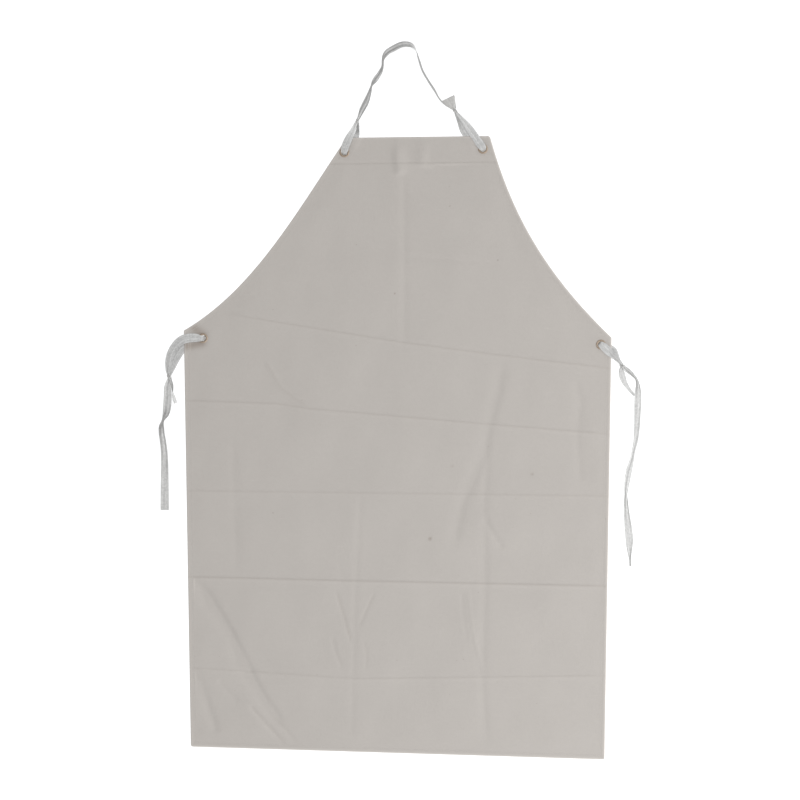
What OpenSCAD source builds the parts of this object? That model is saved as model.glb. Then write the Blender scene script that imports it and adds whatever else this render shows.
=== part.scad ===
// Butcher apron, laid out flat on its back with the bib towards +Y and the front face up (+Z).
// One cut of heavy cloth with turned hems, four brass eyelets, a neck strap and two waist ties
// of herringbone tape. The skirt folds up over the waist, the neck strap folds down over the bib
// and each waist tie swings about its eyelet. Origin: centre of the cloth, on the surface it lies on.

/* [Cloth] */
// Width from waist corner to waist corner
waist_w = 729; // [640:1:800]
// Width along the bottom hem
hem_w = 705; // [600:1:780]
// Width along the top of the bib
bib_w = 244; // [220:1:270]
// Height from the bottom hem to the top of the bib, along the middle
total_h = 1050; // [980:1:1120]
// Height of the waist corners above the bottom hem
skirt_h = 714; // [660:1:740]
// Thickness of one layer of cloth
cloth_t = 0.7; // [0.5:0.1:0.9]
// Thickness of the turned layers under a hem
hem_t = 1.3; // [1.2:0.1:1.5]
// Depth of the hem along the top of the bib
top_hem_d = 48; // [40:1:60]
// Depth of the narrow hems along the sides, the arms and the bottom
hem_d = 10; // [8:0.5:12]

/* [Lay of the cloth] */
// How much lower the right end of the bottom hem lies than its left end
hem_drop = 22; // [0:1:30]
// How much lower the right waist corner lies than the left one
waist_drop = 12; // [0:1:20]
// How much higher the right end of the bib's top edge lies than its left end
top_rise = 3; // [0:1:8]
// How far the top of the bib lies to the right of the skirt's middle
bib_lean = 35; // [0:1:45]

/* [Fold] */
// Where the fold crosses the middle of the skirt
fold_y = -78; // [-110:1:-60]
// Fall of the fold line towards the right, in mm per mm
fold_slope = 0.0125; // [0:0.0025:0.02]
// Gap between the cloth above the fold and the cloth below it
fold_gap = 0.6; // [0.4:0.1:1]

/* [Stitching] */
// Distance of the hem stitching from the edge
stitch_in = 7; // [6:0.5:7.5]
// Distance of the bib hem's stitching from the top edge
top_stitch_in = 44; // [36:1:46]
// Width of a stitch line
stitch_w = 0.8; // [0.5:0.1:1.2]
// Height of a stitch line above the cloth
stitch_h = 0.3; // [0.2:0.1:0.4]

/* [Eyelets] */
// Radius of the hole through an eyelet
eyelet_hole_r = 5; // [4.8:0.1:5.2]
// Radius of the front flange of an eyelet
eyelet_r = 8.5; // [8:0.1:9]
// Height of the front flange above the cloth
flange_h = 0.9; // [0.6:0.1:1]
// Radius of the washer behind the cloth
washer_r = 8; // [7.5:0.1:8.5]

/* [Tapes] */
// Full width of the tape
tape_w = 14; // [12:0.5:14]
// Thickness of the tape
tape_t = 0.6; // [0.5:0.1:0.6]
// Width of the tape gathered in an eyelet
bight_w = 7.4; // [6:0.2:7.4]
// Radius of the waist knots
waist_knot_r = 3; // [2.6:0.1:3.2]
// Radius of the neck knots
neck_knot_r = 2.8; // [2.4:0.1:3]

/* [Hidden] */

LEFT = -1;
RIGHT = 1;
CLOTH = "#c4beb6";
HEM = "#b9b2aa";
THREAD = "#d8d4ce";
BRASS = "#b08d57";
TAPE = "#dcdad6";

// Levels, measured up from the surface that the apron lies on
panel_z = hem_t;
top_z = panel_z + cloth_t;
washer_z = 0.95;

// Places along the middle of the cloth, so that its box is centred on the origin
hem_y = -(total_h + top_rise / 2 + hem_drop / 2) / 2 + hem_drop / 2;
waist_y = hem_y + skirt_h;
top_y = hem_y + total_h;

// How the arm edges leave the waist corners and arrive at the top corners
arm_steps = 14;
left_waist_pull = [120, 70];
left_top_pull = [85, 125];
right_waist_pull = [-120, 115];
right_top_pull = [-35, 125];

// Eyelet centres
bib_left_at = top_corner(LEFT) + [-4, -25];
bib_right_at = top_corner(RIGHT) + [-12, -22];
waist_left_at = waist_corner(LEFT) + [32.5, -13];
waist_right_at = waist_corner(RIGHT) + [-18.5, -12];
barrel_t = 0.4;
hole_play = 0.1;
washer_play = 0.4;
strand_room_r = 44;

// How far below the top edge the arm stitching ends; on the left it would run into an eyelet
left_seam_stop = 37;
right_seam_stop = 5;

// Gathered tape inside an eyelet: how deep it is along the tape, and how far it stays inside the
// strands that it joins
bight_depth = 2.6;
bight_in = 0.6;
bight_sink = 0.02;

// Half lengths of the knots, and the turn of each knot and each loop about the upright
neck_knot_half = 4.5;
waist_knot_half = 5.5;
left_waist_knot_turn = 100;
right_waist_knot_turn = -45;
left_neck_loop_turn = 65;
right_neck_loop_turn = -45;
left_waist_loop_turn = 0;
right_waist_loop_turn = -40;

// Tape routes: each point is [x, y, z, tilt, spread]. Tilt 0 lies flat and 90 stands on edge,
// and spread is the share of the tape's full width that is open there
knot_z = 3.4;
neck_left_at = [-69, 556, knot_z];
neck_right_at = [98, 573, knot_z];
waist_left_knot_at = [-389, 120, knot_z];
waist_right_knot_at = [382, 140, knot_z];
left_neck_front = [
    [-91, 504, 3.7, 0, 0.57], [-90, 512, 3.9, 0, 0.93], [-84, 525, 3.8, 0, 0.93],
    [-76, 541, 4.2, 20, 0.64], [-71, 553, 4.4, 10, 0.36]
];
left_neck_back = [
    [-69, 554, 2.2, 10, 0.36], [-67, 543, 3, 50, 0.43], [-70, 532, 0.4, 0, 0.57],
    [-79, 515, 0.3, 0, 0.8], [-90, 504, 0.3, 0, 0.57]
];
right_neck_front = [
    [145, 510, 3.7, 0, 0.57], [141, 516, 3.9, 0, 1], [132, 529, 3.8, 0, 0.93],
    [120, 546, 3.9, 10, 0.86], [108, 561, 4.4, 20, 0.57], [100, 570, 4.4, 10, 0.36]
];
right_neck_back = [
    [99, 570, 2.2, 10, 0.36], [104, 557, 2.4, 25, 0.5], [112, 540, 0.9, 5, 0.8],
    [120, 529, 0.3, 0, 0.8], [131, 518, 0.3, 0, 0.7], [144, 509, 0.3, 0, 0.57]
];
neck_route = [
    [-67, 561, 3.6, -12, 0.36], [-61, 575, 3.8, -15, 0.68], [-54, 589, 4.2, -18, 0.75],
    [-48, 605, 5, -45, 0.61], [-45, 615, 5.4, -72, 0.7], [-38, 627, 4.6, -28, 0.66],
    [-30, 639, 5, -38, 0.6], [-26, 649, 5.6, -72, 0.74], [-25, 660, 5.6, -70, 0.76],
    [-20, 671, 4.8, -26, 0.72], [-7, 680, 4.4, -22, 0.83], [10, 687, 4.4, -22, 0.83],
    [21, 686, 4.8, -32, 0.84], [30, 677, 7.1, -78, 1], [36, 660, 7.2, -97, 1],
    [42, 642, 7.2, -97, 1], [51, 626, 7.2, -97, 1], [62, 609, 7.2, -97, 1],
    [74, 590, 5.6, -97, 0.75], [85, 581, 4.2, -100, 0.5], [92, 578, 3.4, -110, 0.36]
];
right_neck_end_route = [
    [97, 576, 5.6, 0, 0.4], [93, 581.5, 9, 0, 0.95], [88.5, 588, 12.5, 0, 1.4],
    [85.5, 594, 14.5, 0, 1.75]
];
left_waist_front = [
    [-333, 186, 3.8, 0, 0.5], [-341, 187, 3.9, 0, 0.95], [-354, 187, 3.9, 0, 1.1],
    [-368, 183, 4, 5, 1.1], [-380, 171, 4.4, 6, 1.05], [-387, 157, 4.5, 6, 1],
    [-390, 142, 4.5, 6, 0.85], [-391, 130, 4.6, 8, 0.5], [-389, 123, 4.4, 10, 0.36]
];
left_waist_back = [
    [-389, 123, 2.2, 10, 0.36], [-384, 136, 1.8, 5, 0.64], [-378, 152, 1.2, 0, 0.95],
    [-370, 165, 0.5, 0, 1], [-359, 175, 0.3, 0, 1], [-346, 182, 0.3, 0, 0.86],
    [-333, 186, 0.3, 0, 0.5]
];
right_waist_front = [
    [347, 175, 3.8, 0, 0.5], [353, 170, 3.9, 0, 1], [361, 162, 3.9, 0, 0.93],
    [368, 155, 4.4, 15, 0.6], [375, 148, 4.7, 15, 0.4], [381, 141, 4.4, 10, 0.34]
];
right_waist_back = [
    [382, 142, 2.2, 10, 0.34], [377, 149, 1.9, 15, 0.38], [373, 157, 1.2, 10, 0.6],
    [368, 165, 0.3, 0, 0.84], [358, 171, 0.3, 0, 0.86], [347, 175, 0.3, 0, 0.5]
];
left_waist_end_route = [
    [-387.5, 117, 4.8, 15, 0.36], [-383.5, 104, 6.2, 50, 0.6], [-382, 91, 6.2, 95, 0.75],
    [-378, 76, 5, 125, 0.5]
];
right_waist_end_route = [
    [381, 137, 2.2, -5, 0.36], [381.5, 126, 3.8, -30, 0.95], [386, 112, 4.3, -38, 0.9],
    [393, 101, 3, -38, 0.6], [403, 89, 1.8, -30, 0.4]
];
left_tail_route = [
    [-390, 117, 2.6, -5, 0.36], [-392, 103, 2.2, -8, 0.84], [-392, 88, 2, -6, 0.93],
    [-393, 71, 2, -4, 0.97], [-395, 58, 2.8, 20, 0.87], [-400, 46, 4.4, 58, 0.68],
    [-402, 38, 4.4, 45, 0.9], [-402.5, 28, 3, 15, 0.76], [-400, 11, 2.4, 0, 0.75],
    [-398, -6, 2.2, -4, 0.79], [-397, -30, 2, -6, 0.85], [-397, -55, 1.8, -8, 0.93],
    [-397, -82, 1.8, -8, 0.97], [-397, -106, 1.2, -6, 1]
];
right_tail_route = [
    [384, 138, 4.3, 5, 0.36], [391, 132, 3.4, 20, 0.55], [400, 124, 3.2, 20, 0.4],
    [406, 117, 2.8, 10, 0.28], [408.5, 108, 2.4, 0, 0.45], [409, 96, 2.8, -14, 0.8],
    [409, 81, 3, -20, 0.94], [408.5, 64, 3, -20, 0.88], [408, 47, 2.8, -20, 0.8],
    [405.5, 13, 2.6, -20, 0.64], [402, -4, 2.4, -20, 0.52], [398.5, -21, 2.6, -20, 0.64],
    [394, -38, 2.8, -20, 0.84], [391, -55, 2.8, -20, 0.78], [389, -72, 2.4, -18, 0.52],
    [388.5, -80, 2.2, -16, 0.38], [388.5, -89, 2.2, -16, 0.5], [389.5, -106, 2.6, -18, 0.65],
    [391, -123, 2.8, -18, 0.84], [393, -140, 3, -18, 0.98], [394.5, -157, 3, -18, 1],
    [395, -174, 2.2, -12, 0.67], [395.5, -188, 1.6, -6, 0.3], [396, -202, 1.2, 0, 0.2]
];

// ---- outline of the cloth -------------------------------------------------------------------

function unit(v) = v / norm(v);
function dot(a, b) = a * b;
function backwards(list) = [for (i = [len(list) - 1:-1:0]) list[i]];

function hem_corner(side) = [side * hem_w / 2, hem_y - side * hem_drop / 2];
function waist_corner(side) = [side * waist_w / 2, waist_y - side * waist_drop / 2];
function top_corner(side) = [bib_lean + side * bib_w / 2, top_y + side * top_rise / 2];

// Control points of one arm edge, a cubic curve from the waist corner to the top corner
function arm_frame(side) = [
    waist_corner(side),
    waist_corner(side) + (side == LEFT ? left_waist_pull : right_waist_pull),
    top_corner(side) - (side == LEFT ? left_top_pull : right_top_pull),
    top_corner(side)
];
function arm_edge(side, t) = let (p = arm_frame(side))
    pow(1 - t, 3) * p[0] + 3 * pow(1 - t, 2) * t * p[1] + 3 * (1 - t) * t * t * p[2]
    + pow(t, 3) * p[3];
function arm_way(side, t) = let (p = arm_frame(side))
    unit(pow(1 - t, 2) * (p[1] - p[0]) + 2 * (1 - t) * t * (p[2] - p[1]) + t * t * (p[3] - p[2]));
function arm_inset(side, t, d) = let (w = arm_way(side, t))
    arm_edge(side, t) + d * side * [-w.y, w.x];

// The point that lies d inside both edges that meet at corner p
function corner_in(a, p, b, d) = let (
    u = unit(a - p),
    w = unit(b - p),
    half = acos(dot(u, w)) / 2
) p + unit(u + w) * d / sin(half);
function hem_in(side, d) = corner_in(hem_corner(-side), hem_corner(side), waist_corner(side), d);
function waist_in(side, d) = corner_in(
    hem_corner(side), waist_corner(side), waist_corner(side) + arm_way(side, 0), d);

// Where the fold line, moved up by shift, crosses the line from p to q
function at_fold(p, q, shift) = p + (q - p)
    * (fold_y + shift - fold_slope * p.x - p.y) / (q.y - p.y + fold_slope * (q.x - p.x));

// How far the arm edge at t lies below the top edge, and the t at which that is depth
function below_top(side, t) = let (
    along = unit(top_corner(RIGHT) - top_corner(LEFT))
) dot(top_corner(side) - arm_edge(side, t), [-along.y, along.x]);
function t_below_top(side, depth, low = 0.5, high = 1, turns = 14) = let (mid = (low + high) / 2)
    turns == 0 ? mid
    : below_top(side, mid) > depth ? t_below_top(side, depth, mid, high, turns - 1)
    : t_below_top(side, depth, low, mid, turns - 1);

function arm_line(side, d, last = 1) = [
    waist_in(side, d),
    for (i = [1:arm_steps]) arm_inset(side, last * i / arm_steps, d)
];

// ---- cloth ----------------------------------------------------------------------------------

module slab(points, z, thickness) {
    translate([0, 0, z]) linear_extrude(thickness) polygon(points);
}

module eyelet_places() {
    for (at = [bib_left_at, bib_right_at, waist_left_at, waist_right_at])
        translate([at.x, at.y, 0]) children();
}

module panel_holes() {
    eyelet_places() translate([0, 0, panel_z - 1])
        cylinder(h = cloth_t + 2, r = eyelet_hole_r + barrel_t + hole_play, $fn = 48);
}

// Room in the hems for the washers, and for the tape that runs under the cloth
module hem_room() {
    eyelet_places() {
        translate([0, 0, -1]) cylinder(h = hem_t + 2, r = washer_r + washer_play, $fn = 48);
        translate([0, 0, -1]) cylinder(h = washer_z + 1, r = strand_room_r, $fn = 64);
    }
}

module upper_panel() {
    low_left = at_fold(hem_corner(LEFT), waist_corner(LEFT), fold_gap / 2);
    low_right = at_fold(hem_corner(RIGHT), waist_corner(RIGHT), fold_gap / 2);
    color(CLOTH) difference() {
        slab(concat([low_left], arm_line(LEFT, 0), backwards(arm_line(RIGHT, 0)), [low_right]),
             panel_z, cloth_t);
        panel_holes();
    }
}

module lower_panel() {
    color(CLOTH) slab([
        hem_corner(LEFT),
        at_fold(hem_corner(LEFT), waist_corner(LEFT), -fold_gap / 2),
        at_fold(hem_corner(RIGHT), waist_corner(RIGHT), -fold_gap / 2),
        hem_corner(RIGHT)
    ], panel_z, cloth_t);
}

module top_hem() {
    left_t = t_below_top(LEFT, top_hem_d);
    right_t = t_below_top(RIGHT, top_hem_d);
    rise = [0:0.25:1];
    color(HEM) difference() {
        slab(concat(
            [for (s = rise) arm_edge(LEFT, left_t + (1 - left_t) * s)],
            [for (s = rise) arm_edge(RIGHT, 1 - (1 - right_t) * s)]
        ), 0, hem_t);
        hem_room();
    }
}

module arm_hem(side) {
    last = t_below_top(side, top_hem_d + 0.2);
    color(HEM) difference() {
        slab(concat(arm_line(side, 0, last), backwards(arm_line(side, hem_d, last))), 0, hem_t);
        hem_room();
    }
}

// Ends of a side strip between two distances from the edge, cut at the fold
module side_strip_upper(side, outer, inner, z, thickness) {
    slab([
        waist_in(side, outer),
        at_fold(hem_in(side, outer), waist_in(side, outer), fold_gap / 2),
        at_fold(hem_in(side, inner), waist_in(side, inner), fold_gap / 2),
        waist_in(side, inner)
    ], z, thickness);
}

module side_strip_lower(side, outer, inner, z, thickness) {
    slab([
        hem_in(side, outer),
        at_fold(hem_in(side, outer), waist_in(side, outer), -fold_gap / 2),
        at_fold(hem_in(side, inner), waist_in(side, inner), -fold_gap / 2),
        hem_in(side, inner)
    ], z, thickness);
}

module side_hem_upper(side) {
    color(HEM) difference() {
        side_strip_upper(side, 0, hem_d, 0, hem_t);
        hem_room();
    }
}

module side_hem_lower(side) {
    color(HEM) side_strip_lower(side, 0, hem_d, 0, hem_t);
}

module bottom_strip(outer, inner, z, thickness) {
    slab([hem_in(LEFT, outer), hem_in(RIGHT, outer), hem_in(RIGHT, inner), hem_in(LEFT, inner)],
         z, thickness);
}

module bottom_hem() {
    color(HEM) bottom_strip(0, hem_d, 0, hem_t);
}

// ---- stitching ------------------------------------------------------------------------------

module top_stitching() {
    clear = stitch_in + stitch_w + 1;
    function seam_end(side, depth) = arm_inset(side, t_below_top(side, depth), clear);
    color(THREAD) slab([
        seam_end(LEFT, top_stitch_in), seam_end(RIGHT, top_stitch_in),
        seam_end(RIGHT, top_stitch_in + stitch_w), seam_end(LEFT, top_stitch_in + stitch_w)
    ], top_z, stitch_h);
}

module arm_stitching(side) {
    last = t_below_top(side, side == LEFT ? left_seam_stop : right_seam_stop);
    color(THREAD) slab(concat(
        arm_line(side, stitch_in, last), backwards(arm_line(side, stitch_in + stitch_w, last))
    ), top_z, stitch_h);
}

module side_stitching_upper(side) {
    color(THREAD) side_strip_upper(side, stitch_in, stitch_in + stitch_w, top_z, stitch_h);
}

module side_stitching_lower(side) {
    color(THREAD) side_strip_lower(side, stitch_in, stitch_in + stitch_w, top_z, stitch_h);
}

module bottom_stitching() {
    color(THREAD) bottom_strip(stitch_in, stitch_in + stitch_w, top_z, stitch_h);
}

// ---- eyelets --------------------------------------------------------------------------------

module eyelet(at) {
    r = eyelet_hole_r;
    crest = (r + eyelet_r) / 2;
    color(BRASS) translate([at.x, at.y, 0]) rotate_extrude($fn = 48) polygon([
        [r, washer_z], [r + barrel_t, washer_z], [r + barrel_t, top_z], [eyelet_r, top_z],
        [eyelet_r, top_z + flange_h * 0.35], [eyelet_r - 0.8, top_z + flange_h * 0.8],
        [crest, top_z + flange_h], [r + 0.5, top_z + flange_h * 0.7], [r, top_z + 0.2]
    ]);
}

module washer(at) {
    inner = eyelet_hole_r + barrel_t + hole_play;
    color(BRASS) translate([at.x, at.y, washer_z]) difference() {
        cylinder(h = panel_z - washer_z, r = washer_r, $fn = 48);
        translate([0, 0, -1]) cylinder(h = 3, r = inner, $fn = 48);
    }
}

// ---- tapes ----------------------------------------------------------------------------------

// Corners of the tape's section, as shares of its half width and half thickness
tape_section = [
    [1, -0.4], [1, 0.4], [0.95, 1], [-0.95, 1], [-1, 0.4], [-1, -0.4], [-0.95, -1], [0.95, -1]
];

function place(p) = [p[0], p[1], p[2]];
function way_at(route, i) = unit(
    place(route[min(i + 1, len(route) - 1)]) - place(route[max(i - 1, 0)]));
function tape_ring(p, way) = let (
    level = unit([-way.y, way.x, 0]),
    across = level * cos(p[3]) + cross(way, level) * sin(p[3]),
    face = cross(way, across)
) [for (s = tape_section) place(p) + across * s[0] * p[4] * tape_w / 2 + face * s[1] * tape_t / 2];

// A tape swept along a route, as one closed solid. Both faces are parted along the same diagonal,
// so they stay the tape's thickness apart where it twists
module tape(route) {
    sides = len(tape_section);
    rings = len(route);
    points = [for (i = [0:rings - 1]) each tape_ring(route[i], way_at(route, i))];
    walls = [
        for (i = [0:rings - 2], j = [0:sides - 1]) let (
            a = i * sides + j,
            b = i * sides + (j + 1) % sides
        ) each j < sides / 2
            ? [[a, a + sides, b], [b, a + sides, b + sides]]
            : [[a, a + sides, b + sides], [a, b + sides, b]]
    ];
    near_cap = [for (j = [0:sides - 1]) j];
    far_cap = [for (j = [sides - 1:-1:0]) (rings - 1) * sides + j];
    polyhedron(points, concat(walls, [near_cap, far_cap]));
}

// Tape drawn through an eyelet: one strand over the cloth, one under it, joined in the hole
module tape_loop(front, back, at, bearing) {
    color(TAPE) union() {
        tape(front);
        tape(back);
        translate([at.x, at.y, (front[0][2] + tape_t / 2) / 2]) rotate(bearing)
            cube([bight_depth, bight_w - bight_in, front[0][2] + tape_t / 2 - bight_sink],
                 center = true);
    }
}

// A knot: a rounded barrel about the line through its middle
module knot(at, bearing, half_length, r) {
    color(TAPE) translate(at) rotate([0, 90, bearing]) rotate_extrude($fn = 32)
        polygon([for (a = [-90:15:90]) [r * cos(a), half_length * sin(a)]]);
}

neck_bearing = atan2(neck_right_at.y - neck_left_at.y, neck_right_at.x - neck_left_at.x);

upper_panel();
lower_panel();
top_hem();
arm_hem(LEFT);  // left_arm_hem
arm_hem(RIGHT);  // right_arm_hem
side_hem_upper(LEFT);  // left_side_hem_upper
side_hem_upper(RIGHT);  // right_side_hem_upper
side_hem_lower(LEFT);  // left_side_hem_lower
side_hem_lower(RIGHT);  // right_side_hem_lower
bottom_hem();
top_stitching();
arm_stitching(LEFT);  // left_arm_stitching
arm_stitching(RIGHT);  // right_arm_stitching
side_stitching_upper(LEFT);  // left_side_stitching_upper
side_stitching_upper(RIGHT);  // right_side_stitching_upper
side_stitching_lower(LEFT);  // left_side_stitching_lower
side_stitching_lower(RIGHT);  // right_side_stitching_lower
bottom_stitching();
eyelet(bib_left_at);  // bib_left_eyelet
eyelet(bib_right_at);  // bib_right_eyelet
eyelet(waist_left_at);  // waist_left_eyelet
eyelet(waist_right_at);  // waist_right_eyelet
washer(bib_left_at);  // bib_left_washer
washer(bib_right_at);  // bib_right_washer
washer(waist_left_at);  // waist_left_washer
washer(waist_right_at);  // waist_right_washer
tape_loop(left_neck_front, left_neck_back, bib_left_at, left_neck_loop_turn);  // left_neck_loop
tape_loop(right_neck_front, right_neck_back, bib_right_at, right_neck_loop_turn);  // right_neck_loop
knot(neck_left_at, neck_bearing, neck_knot_half, neck_knot_r);  // left_neck_knot
knot(neck_right_at, neck_bearing, neck_knot_half, neck_knot_r);  // right_neck_knot
color(TAPE) tape(neck_route);  // neck_strap
color(TAPE) tape(right_neck_end_route);  // right_neck_end
tape_loop(left_waist_front, left_waist_back, waist_left_at, left_waist_loop_turn);  // left_waist_loop
tape_loop(right_waist_front, right_waist_back, waist_right_at, right_waist_loop_turn);  // right_waist_loop
knot(waist_left_knot_at, left_waist_knot_turn, waist_knot_half, waist_knot_r);  // left_waist_knot
knot(waist_right_knot_at, right_waist_knot_turn, waist_knot_half, waist_knot_r);  // right_waist_knot
color(TAPE) tape(left_waist_end_route);  // left_waist_end
color(TAPE) tape(right_waist_end_route);  // right_waist_end
color(TAPE) tape(left_tail_route);  // left_waist_tail
color(TAPE) tape(right_tail_route);  // right_waist_tail
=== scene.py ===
"""Butcher apron: cotton drill cloth, sewn hems, brass eyelets and herringbone tapes, laid out flat."""

import math

import bmesh
import bpy
import numpy as np
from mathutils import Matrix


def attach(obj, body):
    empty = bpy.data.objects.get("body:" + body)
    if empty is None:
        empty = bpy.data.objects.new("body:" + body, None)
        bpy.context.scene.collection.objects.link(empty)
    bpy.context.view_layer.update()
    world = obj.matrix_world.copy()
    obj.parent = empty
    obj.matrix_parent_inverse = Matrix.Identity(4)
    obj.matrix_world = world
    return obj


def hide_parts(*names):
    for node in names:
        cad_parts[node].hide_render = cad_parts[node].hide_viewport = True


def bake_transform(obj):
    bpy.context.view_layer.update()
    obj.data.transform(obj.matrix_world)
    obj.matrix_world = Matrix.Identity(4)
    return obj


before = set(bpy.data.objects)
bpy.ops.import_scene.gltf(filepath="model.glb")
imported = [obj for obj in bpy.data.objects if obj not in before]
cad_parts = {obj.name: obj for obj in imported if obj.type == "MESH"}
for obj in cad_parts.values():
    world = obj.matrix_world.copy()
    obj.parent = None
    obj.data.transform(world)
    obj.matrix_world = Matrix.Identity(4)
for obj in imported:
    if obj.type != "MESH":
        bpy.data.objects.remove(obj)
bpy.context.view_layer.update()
MM = 0.001
SEED = 7

# ---- camera ---------------------------------------------------------------------------------

CAMERA_HEIGHT = 3.2
VIEW_WIDTH = 1.3636
VIEW_CENTRE = (0.0038, 0.0814)
SENSOR = 36.0

scene = bpy.context.scene
camera_data = bpy.data.cameras.new("camera")
camera_data.sensor_width = SENSOR
camera_data.lens = SENSOR * CAMERA_HEIGHT / VIEW_WIDTH
camera_data.clip_end = 20
camera = bpy.data.objects.new("camera", camera_data)
camera.location = (VIEW_CENTRE[0], VIEW_CENTRE[1], CAMERA_HEIGHT)
scene.collection.objects.link(camera)
scene.camera = camera
scene.view_settings.view_transform = "Standard"

# ---- small helpers --------------------------------------------------------------------------


def unit(v):
    v = np.asarray(v, float)
    return v / np.maximum(np.linalg.norm(v, axis=-1, keepdims=True), 1e-12)


def smoothstep(low, high, x):
    t = np.clip((np.asarray(x, float) - low) / (high - low), 0, 1)
    return t * t * (3 - 2 * t)


def new_mesh(name, points, faces, material, smooth=True):
    """A mesh object from points in millimetres."""
    mesh = bpy.data.meshes.new(name)
    if isinstance(faces, np.ndarray):
        faces = faces.tolist()
    mesh.from_pydata((np.asarray(points) * MM).tolist(), [], faces)
    mesh.update()
    if smooth:
        mesh.shade_smooth()
    mesh.materials.append(material)
    obj = bpy.data.objects.new(name, mesh)
    scene.collection.objects.link(obj)
    return obj


def add_value(obj, name, values):
    """A number at each point of the mesh, for its material."""
    layer = obj.data.attributes.new(name, "FLOAT", "POINT")
    layer.data.foreach_set("value", np.asarray(values, np.float32))


def grid_faces(rows, columns, closed=False, start=0):
    """Quads of a grid of points, row by row. A closed grid joins its last column to its first."""
    r = np.arange(rows - 1)[:, None]
    c = np.arange(columns if closed else columns - 1)[None, :]
    n = (c + 1) % columns
    quads = np.stack([
        r * columns + c,
        r * columns + n,
        (r + 1) * columns + n,
        (r + 1) * columns + c,
    ], -1)
    return quads.reshape(-1, 4) + start


def distance_along(points):
    """How far along a line each of its points is."""
    return np.concatenate([[0], np.cumsum(np.linalg.norm(np.diff(points, axis=0), axis=1))])


def smooth_route(route, step):
    """The route again, every step millimetres, on a smooth curve through its points."""
    p = np.array(route, float)
    s = distance_along(p[:, :3])
    m = np.gradient(p, s, axis=0)
    x = np.linspace(0, s[-1], max(4, int(s[-1] / step) + 1))
    i = np.clip(np.searchsorted(s, x, side="right") - 1, 0, len(s) - 2)
    h = (s[i + 1] - s[i])[:, None]
    t = ((x - s[i]) / h[:, 0])[:, None]
    return (
        (2 * t**3 - 3 * t**2 + 1) * p[i]
        + (t**3 - 2 * t**2 + t) * h * m[i]
        + (3 * t**2 - 2 * t**3) * p[i + 1]
        + (t**3 - t**2) * h * m[i + 1]
    )


def distance_to_line(xy, line):
    """Distance of each point from a line of straight pieces, how far along it is, and its side."""
    line = np.asarray(line, float)
    best = np.full(len(xy), 1e9)
    along = np.zeros(len(xy))
    left = np.zeros(len(xy), bool)
    run = 0.0
    for a, b in zip(line[:-1], line[1:]):
        ab = b - a
        size = math.hypot(*ab)
        t = np.clip(((xy - a) @ ab) / size**2, 0, 1)
        d = np.linalg.norm(xy - (a + t[:, None] * ab), axis=1)
        nearer = d < best
        best = np.where(nearer, d, best)
        along = np.where(nearer, run + t * size, along)
        left = np.where(nearer, ab[0] * (xy[:, 1] - a[1]) > ab[1] * (xy[:, 0] - a[0]), left)
        run += size
    return best, along / run, left


# ---- materials ------------------------------------------------------------------------------


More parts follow.
